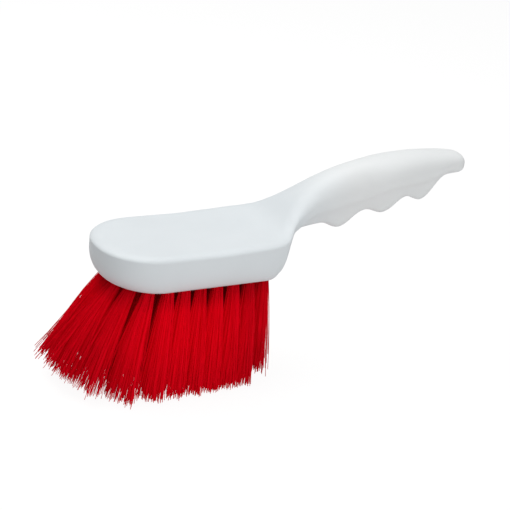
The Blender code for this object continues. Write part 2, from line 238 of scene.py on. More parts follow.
def blend_colours(recipe, mask, low, high):
    settings = {"data_type": "RGBA"}
    made = recipe.node("ShaderNodeMix", settings, {"Factor": mask}, "Result")
    mix = made.socket.node
    for socket, value in zip([s for s in mix.inputs if s.type == "RGBA"], (low, high)):
        if isinstance(value, Wire):
            recipe.tree.links.new(value.socket, socket)
        else:
            socket.default_value = (*value, 1.0)
    return Wire(recipe, [s for s in mix.outputs if s.type == "RGBA"][0])


def attach(recipe, shader, name, wire):
    recipe.tree.links.new(wire.socket, shader.inputs[name])


def ramp(recipe, value, start, end, at_start, at_end):
    """Runs from one share to another while the value goes from start to end."""
    inputs = {"Value": value, "From Min": start, "From Max": end}
    inputs |= {"To Min": at_start, "To Max": at_end}
    return recipe.node("ShaderNodeMapRange", None, inputs)


white_plastic, recipe, shader = new_material("satin_white_plastic")
place = recipe.node("ShaderNodeTexCoord", None, None, "Object")
clouds = noise(recipe, place, *CLOUDS)
scuffs = noise(recipe, place, *SCUFFS, DRAWN_OUT)
grain = noise(recipe, place, *GRAIN)
hollows = noise(recipe, place, *HOLLOWS)
on_block = blend_colours(recipe, clouds, *BLOCK_WHITES)
handle_painted_lighter = blend_colours(recipe, clouds, *HANDLE_WHITES_PAINTED_LIGHTER)
along_brush = recipe.node("ShaderNodeSeparateXYZ", None, {0: place}, "X")
# Painted light: from the neck on, the white is painted lighter.
painted_handle_light_mask = ramp(recipe, along_brush, *PAINTED_HANDLE_LIGHT_SPAN)
attach(recipe, shader, "Base Color", blend_colours(recipe, painted_handle_light_mask, on_block, handle_painted_lighter))
roughness = SATIN + scuffs * SCUFF_ROUGHNESS + grain * GRAIN_ROUGHNESS
attach(recipe, shader, "Roughness", roughness)
relief = hollows * HOLLOW_RELIEF + scuffs * SCUFF_RELIEF + grain * GRAIN_RELIEF
dents = {"Strength": BUMP_STRENGTH, "Distance": BUMP_DEPTH, "Height": relief}
attach(recipe, shader, "Normal", recipe.node("ShaderNodeBump", None, dents))
shader.inputs["IOR"].default_value = PLASTIC_IOR
shader.inputs["Subsurface Weight"].default_value = MILKINESS
shader.inputs["Subsurface Radius"].default_value = (1.0, 1.0, 1.0)
shader.inputs["Subsurface Scale"].default_value = LIGHT_REACH
print(white_plastic.name, len(white_plastic.node_tree.nodes), "nodes")

# %% [markdown]
# ## Red filament
#
# The bristles are drawn polypropylene or polyester filament, dyed through in one red. No two
# of them catch the light alike: each was cut from another place of the hank, and each turns
# another side to the lamp. Every filament therefore carries its own tone as an attribute,
# and a second attribute says how far along it a point is. The colour is painted darker at
# the root, painted shade under the block, and is darker towards the tips. The tufts at both
# ends of the block are painted darker as well: painted shade, for the less light there.
#
# Filament is translucent, and a tuft passes light on from strand to strand. Following that
# light would cost a lot of rendering, so a faint glow of the same red, which fades at the
# root, stands in for it. Hardly any of this light reaches the rows inside the outer one. A
# third attribute marks them: they glow little and are painted dark at their roots, painted
# shade for what shows between two outer tufts.

# %% Red filament
RED_DYES = ((0.83, 0.0, 0.009), (0.98, 0.0, 0.014))  # the dullest filament and the brightest
# The deep red below is painted shade, used at the roots and at both ends of the block.
PAINTED_SHADE_RED = (0.22, 0.0, 0.004)
TIP_RED = (0.60, 0.0, 0.008)
GLOW_RED = (0.95, 0.0, 0.013)
NO_GLOW = (0.0, 0.0, 0.0)
GLOW_STRENGTH = 0.082
GLOW_LOST_INSIDE = 0.8  # share of the glow that the inner rows lack
# Painted shade: ROOT_SHADE paints the roots darker, and INNER_SHADE the roots of the inner rows
# more.
# along the filament from and to, and the share of the other colour at these two places
ROOT_SHADE = (0.0, 0.24, 0.40, 0.0)
INNER_SHADE = (0.0, 0.60, 0.55, 0.0)
TIP_DARKENING = (0.55, 1.0, 0.0, 0.6)
GLOW_RISE = (0.06, 0.28, 0.0, 1.0)
# x from and to, and the share of the painted shade red at these two places: painted shade at
# both ends
NOSE_PAINTED_SHADE = (-0.115, -0.080, 0.24, 0.0)
REAR_PAINTED_SHADE = (-0.045, -0.020, 0.0, 0.26)
STREAKS = (420.0, 2.0)
LENGTHWISE = (1.0, 1.0, 0.08)  # the streaks run up and down
TONE_SHARE = 0.75  # of the dye, the rest is streaks
FILAMENT_ROUGHNESS = 0.50
STREAK_ROUGHNESS = 0.20
FILAMENT_SHINE = 0.03

red_filament, recipe, shader = new_material("red_filament")
tone = recipe.node("ShaderNodeAttribute", {"attribute_name": "tone"}, None, "Fac")
along = recipe.node("ShaderNodeAttribute", {"attribute_name": "along"}, None, "Fac")
inner = recipe.node("ShaderNodeAttribute", {"attribute_name": "inner"}, None, "Fac")
place = recipe.node("ShaderNodeTexCoord", None, None, "Object")
along_brush = recipe.node("ShaderNodeSeparateXYZ", None, {0: place}, "X")
streaks = noise(recipe, place, *STREAKS, LENGTHWISE)
dye_mask = tone * TONE_SHARE + streaks * (1.0 - TONE_SHARE)
dyed = blend_colours(recipe, dye_mask, *RED_DYES)
# Painted shade at the roots, more on the inner rows, which shows between the outer tufts.
painted_root_shade_mask = ramp(recipe, along, *ROOT_SHADE) + inner * ramp(recipe, along, *INNER_SHADE)
rooted = blend_colours(recipe, painted_root_shade_mask, dyed, PAINTED_SHADE_RED)
# Darker towards the tips.
tipped = blend_colours(recipe, ramp(recipe, along, *TIP_DARKENING), rooted, TIP_RED)
# Painted shade: the tufts at both ends of the block are painted darker.
end_shade_mask = ramp(recipe, along_brush, *NOSE_PAINTED_SHADE) + ramp(recipe, along_brush, *REAR_PAINTED_SHADE)
attach(recipe, shader, "Base Color", blend_colours(recipe, end_shade_mask, tipped, PAINTED_SHADE_RED))
attach(recipe, shader, "Roughness", FILAMENT_ROUGHNESS + streaks * STREAK_ROUGHNESS)
shader.inputs["IOR"].default_value = PLASTIC_IOR
shader.inputs["Specular IOR Level"].default_value = FILAMENT_SHINE
glow_mask = ramp(recipe, along, *GLOW_RISE) * (1.0 - inner * GLOW_LOST_INSIDE)
glow = blend_colours(recipe, glow_mask, NO_GLOW, GLOW_RED)
attach(recipe, shader, "Emission Color", glow)
shader.inputs["Emission Strength"].default_value = GLOW_STRENGTH
print(red_filament.name, len(red_filament.node_tree.nodes), "nodes")

# %% [markdown]
# ## The moulding: curves that its sections follow
#
# Block and handle are one moulding, so they are one surface here: a loft through upright
# sections from the nose to the tip of the handle. A loft suits it better than joined boxes
# or a sculpted lump, because the real outline is a run of smooth curves: the nose is a
# superellipse, the neck a convex corner that turns into a concave sweep, and the handle an
# oval that swells and thins again. Monotone cubics through a few measured stations draw
# those curves without overshoot.

# %% Curves through stations
def smooth_curve(x, knots_x, knots_y):
    """Monotone cubic through the knots, so that no profile overshoots its stations."""
    steps = np.diff(knots_x)
    slopes = np.diff(knots_y) / steps
    tangents = np.zeros(len(knots_x))
    tangents[0] = slopes[0]
    tangents[-1] = slopes[-1]
    for k in range(1, len(knots_x) - 1):
        if slopes[k - 1] * slopes[k] > 0:
            near = 2 * steps[k] + steps[k - 1]
            far = steps[k] + 2 * steps[k - 1]
            tangents[k] = (near + far) / (near / slopes[k - 1] + far / slopes[k])
    x = np.clip(x, knots_x[0], knots_x[-1])
    i = np.clip(np.searchsorted(knots_x, x, side="right") - 1, 0, len(steps) - 1)
    h = steps[i]
    t = (x - np.take(knots_x, i)) / h
    start = np.take(knots_y, i)
    end = np.take(knots_y, i + 1)
    pull = t * (1 - t) ** 2 * h * tangents[i] - t * t * (1 - t) * h * tangents[i + 1]
    return (1 + 2 * t) * (1 - t) ** 2 * start + t * t * (3 - 2 * t) * end + pull


def ease(t):
    t = np.clip(t, 0.0, 1.0)
    return t * t * (3 - 2 * t)


def quarter(t):
    """Height of a quarter circle of radius 1 at distance t from its low end."""
    return np.sqrt(np.clip(1 - (1 - np.clip(t, 0.0, 1.0)) ** 2, 0.0, 1.0))


print("a quarter circle, half way along:", round(float(quarter(0.5)), 3))

# %% [markdown]
# ### Nose and straight part of the block
#
# In plan the nose is a superellipse, a little squarer than an ellipse. In section the wall
# leans in towards the underside on a long curve. It meets the flat top in a rounding that
# is low but wide, and that widens towards the rear, so the light runs out softly there. The
# underside is drawn in more at the nose than at the sides, as on the real block, where the
# front tufts fan out forwards.

# %% Sections of the nose
HALF_WIDTH = 0.0328
HEIGHT = 0.0233
NOSE_LENGTH = 0.0331
NOSE_POWER = 2.15
TOP_EDGE = 0.0027  # height of the rounding of the top edge
TOP_EDGE_WIDTH = np.array(((-0.085, 0.0052), (-0.050, 0.0060), (-0.012, 0.0075)))  # over x
TAPER_IN = 0.0072
TAPER_UP = 0.0158
NOSE_TAPER = 1.5
UNDERSIDE_POWER = 1.85
ARC_COUNT = 18  # points of each curved part of a half section
UNDER_COUNT = 5
CROWN_COUNT = 14


def with_flats(y, z):
    """Adds the flat underside and top to the curved wall of a half section."""
    under = y[0] * np.arange(UNDER_COUNT) / UNDER_COUNT
    over = y[-1] * np.arange(CROWN_COUNT)[::-1] / CROWN_COUNT
    y = np.r_[under, y, over]
    z = np.r_[np.full(UNDER_COUNT, z[0]), z, np.full(CROWN_COUNT, z[-1])]
    return np.c_[y, z]


def edge_width(x):
    return float(smooth_curve(x, TOP_EDGE_WIDTH[:, 0], TOP_EDGE_WIDTH[:, 1]))


def nose_section(x):
    """Half of the section at x, from the middle of the underside to the middle of the top."""
    depth = x + BLOCK_LENGTH
    draw = TAPER_IN * NOSE_TAPER
    low_start = 0.0 if depth >= draw else math.asin(1 - depth / draw)
    edge_in = edge_width(x)
    rounded = edge_in * NOSE_TAPER
    top_end = math.pi / 2 if depth >= rounded else math.acos(1 - depth / rounded)
    low = np.linspace(low_start, math.pi / 2, ARC_COUNT + 1)
    top = np.linspace(0.0, top_end, ARC_COUNT + 1)
    inset = np.r_[TAPER_IN * (1 - np.sin(low)), edge_in * (1 - np.cos(top))]
    z = np.r_[TAPER_UP * (1 - np.cos(low)), HEIGHT - TOP_EDGE * (1 - np.sin(top))]
    power = np.full(len(inset), NOSE_POWER)
    power[: ARC_COUNT + 1] += (UNDERSIDE_POWER - NOSE_POWER) * (1 - np.sin(low))
    nose = NOSE_LENGTH - inset * NOSE_TAPER
    ahead = np.clip((NOSE_LENGTH - depth) / nose, 0.0, 1.0) ** power
    y = (HALF_WIDTH - inset) * np.clip(1 - ahead, 0.0, 1.0) ** (1 / power)
    return with_flats(y, z)


print("half width in the middle of the nose", round(float(nose_section(-0.1).max()), 4))

# %% [markdown]
# ### Rear of the block, neck and handle
#
# Behind the flat part the top rises into the neck as one smooth sheet, the side turns a
# convex corner and runs in to the neck on a concave curve, and the underside climbs the
# rear wall. Each of these is its own curve over x. There is one section for all of it: the
# roundings of the block's top edge and of its underside grow until they meet as the
# handle's oval. Under the oval hangs a narrower keel, whose edge shows as a soft crease
# along the handle, and the keel swells at the three ridges that keep the fingers apart.

# %% Sections of the rear and the handle
FLAT_TOP_END = -0.0450
CORNER_LENGTH = 0.0170
SHOULDER_LENGTH = 0.0190
NECK_HALF_WIDTH = 0.0157
# how the side runs in from the block to the neck: x and share of the way
SIDE_SWEEP = np.array(
    (
        (-CORNER_LENGTH, 0.0),
        (-0.010, 0.018),
        (-0.006, 0.065),
        (-0.003, 0.130),
        (0.000, 0.245),
        (0.003, 0.444),
        (0.006, 0.637),
        (0.010, 0.795),
        (0.014, 0.910),
        (SHOULDER_LENGTH, 1.0),
    )
)
UNDERSIDE_END = -0.0055
UNDERSIDE_CORNER = 0.0072
REAR_WALL_TOP = 0.0145
NECK_SWEEP = 0.0118
NECK_UNDERSIDE = 0.0236
EDGE_FROM = -0.0123
BLEND_FROM = -0.0075
OVAL_FROM = 0.0265
OVAL_FLAT = 0.06
UNDER_POWER = 3.0
TAPER_SHARE = 0.9
HANDLE_LENGTH = 0.1408
# x, half width, top, valley line of the underside, height of the keel
STATIONS = np.array(
    (
        (0.030, 0.0137, 0.0496, 0.0242, 0.0052),
        (0.055, 0.0135, 0.0584, 0.0282, 0.0050),
        (0.080, 0.0152, 0.0624, 0.0345, 0.0067),
        (0.105, 0.0132, 0.0642, 0.0391, 0.0046),
        (0.126, 0.0112, 0.0633, 0.0494, 0.0008),
        (HANDLE_LENGTH, 0.0088, 0.0614, 0.0499, 0.0),
    )
)
KEEL_FROM = 0.90  # share of the half width at which the keel starts
KEEL_FULL = 0.62  # and at which it has its full height
# rise of the top into the neck: x and height over the block's top
TOP_SWEEP = np.array(
    (
        (-0.030, 0.0008),
        (-0.018, 0.0013),
        (-0.008, 0.0022),
        (0.000, 0.0047),
        (0.006, 0.0094),
        (0.014, 0.0161),
    )
)
RIDGES = np.array((0.0472, 0.0783, 0.1084))
RIDGE_DEPTH = 0.0061
RIDGE_WIDTH = 0.0300
TIP_ROUND = 0.0070
SOFT_TOP = 0.0055  # over this much of x the curves of the rear are averaged
SOFT_SIDE = 0.0020
SOFT_SAMPLES = 13


def softened(curve, x, reach):
    """Mean of the curve over x - reach to x + reach, so that no station shows as a crease."""
    offsets = np.linspace(-reach, reach, SOFT_SAMPLES)
    return float(np.mean([curve(x + offset) for offset in offsets]))


def half_width(x):
    swept = HALF_WIDTH + (NECK_HALF_WIDTH - HALF_WIDTH) * SIDE_SWEEP[:, 1]
    knots_x = np.r_[-BLOCK_LENGTH, SIDE_SWEEP[:, 0], STATIONS[:, 0]]
    return smooth_curve(x, knots_x, np.r_[HALF_WIDTH, swept, STATIONS[:, 1]])


def top_height(x):
    knots_x = np.r_[-BLOCK_LENGTH, FLAT_TOP_END, TOP_SWEEP[:, 0], STATIONS[:, 0]]
    knots_z = np.r_[0.0, 0.0, TOP_SWEEP[:, 1], STATIONS[:, 2] - HEIGHT] + HEIGHT
    return smooth_curve(x, knots_x, knots_z)


def underside_height(x):
    if x <= 0:
        return REAR_WALL_TOP * (1 - quarter(x / UNDERSIDE_END))
    if x < NECK_SWEEP:
        return NECK_UNDERSIDE - (NECK_UNDERSIDE - REAR_WALL_TOP) * (1 - quarter(x / NECK_SWEEP))
    knots_x = np.r_[0.0, NECK_SWEEP, STATIONS[:, 0]]
    return smooth_curve(x, knots_x, np.r_[NECK_UNDERSIDE, NECK_UNDERSIDE, STATIONS[:, 3]])


def keel_height(x):
    return smooth_curve(x, np.r_[NECK_SWEEP, STATIONS[:, 0]], np.r_[0.0, STATIONS[:, 4]])


def ridge_height(x):
    away = np.clip(abs(x - RIDGES) / (RIDGE_WIDTH / 2), 0.0, 1.0)
    return RIDGE_DEPTH * float(np.sum(0.5 + 0.5 * np.cos(math.pi * away)))


def rear_section(x):
    """Half section behind the flat top. The block's roundings grow into the handle's oval."""
    wide = softened(half_width, x, SOFT_SIDE)
    top = softened(top_height, x, SOFT_TOP)
    keel = keel_height(x)
    under = underside_height(x) + keel
    middle = (top + softened(underside_height, x, SOFT_TOP) + keel) / 2
    across = wide * (1 - OVAL_FLAT)
    over = ease((x - EDGE_FROM) / (OVAL_FROM - EDGE_FROM))
    edge_in = edge_width(x) + (across - edge_width(x)) * over
    edge_down = TOP_EDGE + (top - middle - TOP_EDGE) * over
    below = ease((x - BLEND_FROM) / (OVAL_FROM - BLEND_FROM))
    corner = 1 - quarter((UNDERSIDE_END - x) / UNDERSIDE_CORNER)
    block_in = wide - (HALF_WIDTH - TAPER_IN - UNDERSIDE_CORNER * corner)
    block_up = min(TAPER_UP, TAPER_SHARE * (top - edge_down - under))
    taper_in = block_in + (across - block_in) * below
    taper_up = block_up + (TAPER_SHARE * (middle - under) - block_up) * below
    angle = np.linspace(0.0, math.pi / 2, ARC_COUNT + 1)
    square = 2 / (2 + (UNDER_POWER - 2) * below)
    inset = taper_in * (1 - np.sin(angle) ** square)
    inset = np.r_[inset, edge_in * (1 - np.cos(angle))]
    low = under + taper_up * (1 - np.abs(np.cos(angle)) ** square)
    half = with_flats(wide - inset, np.r_[low, top - edge_down * (1 - np.sin(angle))])
    lower = half[: UNDER_COUNT + ARC_COUNT + 1]
    inward = (KEEL_FROM - lower[:, 0] / wide) / (KEEL_FROM - KEEL_FULL)
    lower[:, 1] -= (keel + ridge_height(x)) * ease(inward)
    tip = math.sqrt(max(1 - max((x - HANDLE_LENGTH) / TIP_ROUND + 1, 0.0) ** 2, 0.0))
    return np.c_[half[:, 0] * tip, middle + (half[:, 1] - middle) * tip]


print("handle, widest and narrowest:", STATIONS[:, 1].max() * 2, STATIONS[:, 1].min() * 2)

# %% [markdown]
# ### Loft
#
# The sections stand close together where the outline turns fast, and every section has the
# same number of points, so neighbours join in plain quads. One point closes either end.

# %% Loft the moulding
NOSE_SECTIONS = 44
STRAIGHT_SECTIONS = 13
RISE_SECTIONS = 12
CORNER_SECTIONS = 18  # on the convex corner, and as many on the neck
HANDLE_SECTIONS = 110
TIP_SECTIONS = 14


def turning(start, span, count, ending):
    """Stations over span that crowd together at its far or near end."""
    turn = np.linspace(0.0, math.pi / 2, count + 1)
    return start + span * (np.sin(turn) if ending else 1 - np.cos(turn))


def stations_along():
    nose_end = NOSE_LENGTH - BLOCK_LENGTH
    straight = HANDLE_LENGTH - TIP_ROUND
    parts = (
        turning(-BLOCK_LENGTH, NOSE_LENGTH, NOSE_SECTIONS, False)[1:],
        np.linspace(nose_end, FLAT_TOP_END, STRAIGHT_SECTIONS)[1:],
        np.linspace(FLAT_TOP_END, -CORNER_LENGTH, RISE_SECTIONS)[1:-1],
        turning(-CORNER_LENGTH, CORNER_LENGTH, CORNER_SECTIONS, True),
        turning(0.0, SHOULDER_LENGTH, CORNER_SECTIONS, False)[1:],
        np.linspace(SHOULDER_LENGTH, straight, HANDLE_SECTIONS)[1:],
        turning(straight, TIP_ROUND, TIP_SECTIONS, True)[1:-1],
    )
    return np.concatenate(parts)


def loft(name, rings, first, last):
    """Closed mesh through the rings, ended in a point at either end."""
    count = len(rings[0])
    points = [first, *np.vstack(rings).tolist(), last]
    faces = []
    for k in range(count):
        after = (k + 1) % count
        faces.append((0, 1 + after, 1 + k))
        for r in range(len(rings) - 1):
            a = 1 + r * count
            b = a + count
            faces.append((a + k, a + after, b + after, b + k))
        end = 1 + (len(rings) - 1) * count
        faces.append((end + k, end + after, len(points) - 1))
    mesh = bpy.data.meshes.new(name)
    mesh.from_pydata(points, [], faces)
    return mesh


rings = []
for x in stations_along():
    half = nose_section(x) if x < FLAT_TOP_END else rear_section(x)
    section = np.vstack([half, half[1:-1][::-1] * (-1, 1)])
    rings.append(np.c_[np.full(len(section), x), section] + np.array(origin))
nose_point = origin + Vector((-BLOCK_LENGTH, 0.0, (TAPER_UP + HEIGHT - TOP_EDGE) / 2))
tip_z = (top_height(HANDLE_LENGTH) + underside_height(HANDLE_LENGTH)) / 2
tip_point = origin + Vector((HANDLE_LENGTH, 0.0, float(tip_z)))
moulding = bpy.data.objects.new("moulding", loft("moulding", rings, nose_point, tip_point))
bpy.context.scene.collection.objects.link(moulding)
moulding.data.materials.append(white_plastic)
print("moulding:", len(rings), "sections,", len(moulding.data.polygons), "faces")

# %% [markdown]
# ## Where the tufts sit
#
# Tufts are set by a machine that drills a blind hole, folds a bundle of filaments over a
# metal anchor and drives both in. The outer row follows the edge of the underside: straight
# sides, a half oval round the nose and a row that closes it at the rear. Staggered rows
# fill the inside. The holes are drilled at an angle, so the outer tufts splay outwards and
# those of the nose lean far forwards.

# %% Seats
TUFT_PITCH = 0.0103
ROWS_PER_SIDE = 3
SEAT_SPACING = 0.0086
SEAT_MARGIN = 0.0032
SIDE_ROW_END = -0.0222
NOSE_SEATS = 6
REAR_SEATS = 4
REAR_ROW_HALF_WIDTH = 0.0165
SIDE_LEAN = 12.0  # degrees outwards, at the edge
# distance from the tip of the nose, or x, and the lean along X in degrees, less than 0 forwards
NOSE_LEAN = np.array(((0.0142, -40.0), (0.0222, -25.0), (0.0312, -14.0), (0.0472, -7.5)))
REAR_LEAN = np.array(((-0.0225, -4.0), (-0.0087, -3.0)))
EDGE_SHIFT = 0.0014  # the holes at the edge cut this much closer to the wall
row_edge = HALF_WIDTH - TAPER_IN - SEAT_MARGIN
nose_centre = NOSE_LENGTH - BLOCK_LENGTH
nose_reach = NOSE_LENGTH - TAPER_IN * NOSE_TAPER - SEAT_MARGIN


def outer_seats():
    per_side = int((SIDE_ROW_END - nose_centre) / TUFT_PITCH)
    side = [(SIDE_ROW_END - k * TUFT_PITCH, -row_edge) for k in range(per_side + 1)]
    nose = []
    for k in range(NOSE_SEATS):
        angle = math.pi * (k + 1) / (NOSE_SEATS + 1)
        ahead = nose_reach * math.sin(angle) ** (2 / UNDERSIDE_POWER)
        aside = math.copysign(abs(math.cos(angle)) ** (2 / UNDERSIDE_POWER), -math.cos(angle))
        nose.append((nose_centre - ahead, row_edge * aside))
    across = np.linspace(REAR_ROW_HALF_WIDTH, -REAR_ROW_HALF_WIDTH, REAR_SEATS)
    rear = [(UNDERSIDE_END - SEAT_MARGIN, float(y)) for y in across]
    return side + nose + [(x, -y) for x, y in side[::-1]] + rear


def inner_seats(taken):
    row_pitch = row_edge / (ROWS_PER_SIDE - 0.5)
    seats = []
    for row in range(ROWS_PER_SIDE - 1, 0, -1):
        y = row_pitch * (row - 0.5)
        shift = TUFT_PITCH / 2 if (ROWS_PER_SIDE - row) % 2 else 0.0
        for k in range(int(BLOCK_LENGTH / TUFT_PITCH)):
            x = SIDE_ROW_END + TUFT_PITCH - shift - k * TUFT_PITCH
            clear = all(math.hypot(x - a, y - abs(b)) >= SEAT_SPACING for a, b in taken + seats)
            ahead = max(nose_centre - x, 0.0) / nose_reach
            if clear and math.hypot(ahead, y / row_edge) < 1.0:
                seats += [(x, -y), (x, y)]
    return seats


def tuft_axis(x, y):
    """Unit direction of a tuft, down and out of its hole."""
    knots_x = np.r_[NOSE_LEAN[:, 0] - BLOCK_LENGTH, REAR_LEAN[:, 0]]
    lean = smooth_curve(x, knots_x, np.r_[NOSE_LEAN[:, 1], REAR_LEAN[:, 1]])
    forward = math.radians(float(lean))
    sideways = math.radians(SIDE_LEAN) * y / row_edge
    return Vector((math.tan(forward), math.tan(sideways), -1.0)).normalized()


def towards_edge(x, y):
    """The same seat, moved out to where its hole scallops the edge of the block."""
    out = Vector((min(x - nose_centre, 0.0), y)).normalized() * EDGE_SHIFT
    return x + out.x, y + out.y


outer = outer_seats()
seats = outer + inner_seats(outer)
axes = [tuft_axis(x, y) for x, y in seats]
seats = [towards_edge(*seat) for seat in outer[:-REAR_SEATS]] + seats[len(outer) - REAR_SEATS :]
gaps = []
for name, (x, y) in zip(tuft_nodes, seats):
    low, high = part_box(name)
    root = origin + Vector((x, y, 0.0))
    gaps.append(max(low[0] - root.x, root.x - high[0], low[1] - root.y, root.y - high[1]))
print(len(seats), "seats for", len(tuft_nodes), "nodes; all inside their boxes:", max(gaps) < 0)

# %% [markdown]
# ## Holes in the underside
#
# Each tuft comes out of a round hole. Only its mouth can be seen between the filaments, so
# a Boolean with one shallow drill for each seat is enough. All the drills are one mesh, so
# that the moulding is cut once.

# %% Drill the holes
HOLE_RADIUS = 0.0032
HOLE_DEPTH = 0.0040
DRILL_SIDES = 20
SHARP_ANGLE = 38.0  # degrees, beyond which an edge isn't shaded smooth


def tuft_turn(axis):
    return Vector((0.0, 0.0, 1.0)).rotation_difference(axis).to_matrix().to_4x4()


def make_drills():
    bm = bmesh.new()
    for (x, y), axis in zip(seats, axes):
        made = bmesh.ops.create_cone(
            bm,
            cap_ends=True,
            segments=DRILL_SIDES,
            radius1=HOLE_RADIUS,
            radius2=HOLE_RADIUS,
            depth=2 * HOLE_DEPTH,
        )
        where = Matrix.Translation(origin + Vector((x, y, 0.0))) @ tuft_turn(axis)
        bmesh.ops.transform(bm, matrix=where, verts=made["verts"])
    mesh = bpy.data.meshes.new("drills")
    bm.to_mesh(mesh)
    bm.free()
    drills = bpy.data.objects.new("drills", mesh)
    bpy.context.scene.collection.objects.link(drills)
    return drills


def settle(obj):
    """Puts an object's evaluated mesh in its place, without its modifiers."""
    depsgraph = bpy.context.evaluated_depsgraph_get()
    mesh = bpy.data.meshes.new_from_object(obj.evaluated_get(depsgraph))
    obj.modifiers.clear()
    obj.data = mesh
    return mesh


def recalculate_normals(mesh):
    bm = bmesh.new()
    bm.from_mesh(mesh)
    bmesh.ops.recalc_face_normals(bm, faces=bm.faces)
    bm.to_mesh(mesh)
    bm.free()


recalculate_normals(moulding.data)
drills = make_drills()
cut = moulding.modifiers.new("tuft holes", "BOOLEAN")
cut.operation = "DIFFERENCE"
cut.solver = "EXACT"
cut.object = drills
settle(moulding)
bpy.data.objects.remove(drills, do_unlink=True)
moulding.data.polygons.foreach_set("use_smooth", [True] * len(moulding.data.polygons))
moulding.data.set_sharp_from_angle(angle=math.radians(SHARP_ANGLE))
print("moulding after drilling:", len(moulding.data.polygons), "faces")
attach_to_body(moulding, "root")
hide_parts("stock")

# %% [markdown]
# ## Filaments
#
# A tuft holds a few hundred filaments a third of a millimetre thick. Modelled by hand that
# is no work for anyone, and a particle system would leave nothing that can be exported, so
# Geometry Nodes grow them. The tree copies each seat once for each filament, picks a place
# for the copy inside the hole, and works out where the filament ends: the same place in a
# wider circle, a trimmed length along the axis of the tuft. A short curve is put on
# every copy, its points are moved between root and tip with a slight bow, and a
# four-sided profile gives it its thickness.

# %% Tree of a tuft
def new_tree(name, sizes):
    """A geometry tree whose named inputs hold these sizes, and its recipe."""
    tree = bpy.data.node_groups.new(name, "GeometryNodeTree")
    tree.interface.new_socket("Geometry", in_out="INPUT", socket_type="NodeSocketGeometry")
    tree.interface.new_socket("Geometry", in_out="OUTPUT", socket_type="NodeSocketGeometry")
    for label, value in sizes.items():
        kind = "NodeSocketInt" if isinstance(value, int) else "NodeSocketFloat"
        socket = tree.interface.new_socket(label, in_out="INPUT", socket_type=kind)
        socket.default_value = value
    return tree, Recipe(tree)


FILAMENT_SIZES = {
    "Filaments": 240,
    "Thickness": 0.00036,
    "Hole Radius": 0.0028,
    "Longest": 0.0612,
    "Trim Height": 0.0,
    "Ragged": 0.0085,
    "Stray": 0.0010,
    "Bow": 0.0008,
    "Flare": 0.10,
    "Rooted": 0.0030,
    "Seed": 7,
}
tree, recipe = new_tree("filaments of a tuft", FILAMENT_SIZES)
given = {}
for label in ("Geometry", *FILAMENT_SIZES):
    given[label] = recipe.node("NodeGroupInput", None, None, label)
print(tree.name, "takes", ", ".join(FILAMENT_SIZES))


# %% Random draws of a filament
def draw(low, high, number, kind="FLOAT"):
    """A random value for each filament. Each draw has its own number."""
    index = recipe.node("GeometryNodeInputIndex")
    made = recipe.node("FunctionNodeRandomValue", {"data_type": kind})
    node = made.socket.node
    ends = [s for s in node.inputs if s.enabled and s.name in ("Min", "Max")]
    for socket, value in zip(ends, (low, high)):
        socket.default_value = value
    recipe.tree.links.new(index.socket, node.inputs["ID"])
    recipe.tree.links.new((given["Seed"] + number).socket, node.inputs["Seed"])
    return Wire(recipe, [s for s in node.outputs if s.enabled][0])


def named(name, kind="FLOAT_VECTOR"):
    made = recipe.node("GeometryNodeInputNamedAttribute", {"data_type": kind}, {"Name": name})
    return Wire(recipe, [s for s in made.socket.node.outputs if s.enabled][0])


def keep(geometry, name, value, kind="FLOAT_VECTOR"):
    """Stores a value on the points of the geometry."""
    made = recipe.node(
        "GeometryNodeStoreNamedAttribute",
        {"data_type": kind, "domain": "POINT"},
        {"Geometry": geometry, "Name": name},
    )
    node = made.socket.node
    socket = [s for s in node.inputs if s.enabled and s.name == "Value"][0]
    recipe.tree.links.new(value.socket, socket)
    return made


def scaled(vector, factor):
    inputs = {0: vector, "Scale": factor}
    return recipe.node("ShaderNodeVectorMath", {"operation": "SCALE"}, inputs)


copies = recipe.node(
    "GeometryNodeDuplicateElements",
    {"domain": "POINT"},
    {"Geometry": given["Geometry"], "Amount": given["Filaments"]},
)
seat = recipe.node("GeometryNodeInputPosition")
axis = named("axis")
turn = draw(0.0, 2 * math.pi, 1)
radius = given["Hole Radius"] * recipe.maths("SQRT", draw(0.0, 1.0, 2))
side = recipe.vectors("NORMALIZE", recipe.vectors("CROSS_PRODUCT", axis, (0.0, 1.0, 0.0)))
other = recipe.vectors("CROSS_PRODUCT", axis, side)
off_axis = recipe.vectors(
    "ADD",
    scaled(side, radius * recipe.maths("COSINE", turn)),
    scaled(other, radius * recipe.maths("SINE", turn)),
)
print("draws for place and angle in the hole are set")

# %% [markdown]
# The trimmed face is level, so a tuft that leans is longer than an upright one. Those at
# the nose lean so far that they would have to be longer than the filament is, and end
# short of the trimmed face. The cut isn't clean either: each filament falls short by its
# own amount, most of them by little and some by a lot. Long filaments also droop, those of
# the nose most of all, but a few stay straight and stand off from their tuft as strays.
# No tip may pass through the table, so the tips are held at its height.

# %% Root and tip
STRAY_POWER = 6.0  # the higher, the fewer filaments stray
STRAY_MORE = 3.0  # a stray stands off by this many times more
WANDER = Vector((1.0, 1.0, 0.2))  # shares of that along X, Y and Z
LIMP_POWER = 14.0  # the higher, the fewer filaments stay straight
DROOP_IN_BOW = -0.25
ANYWHERE = -1.0  # metres along X or Y, where no tip is held back

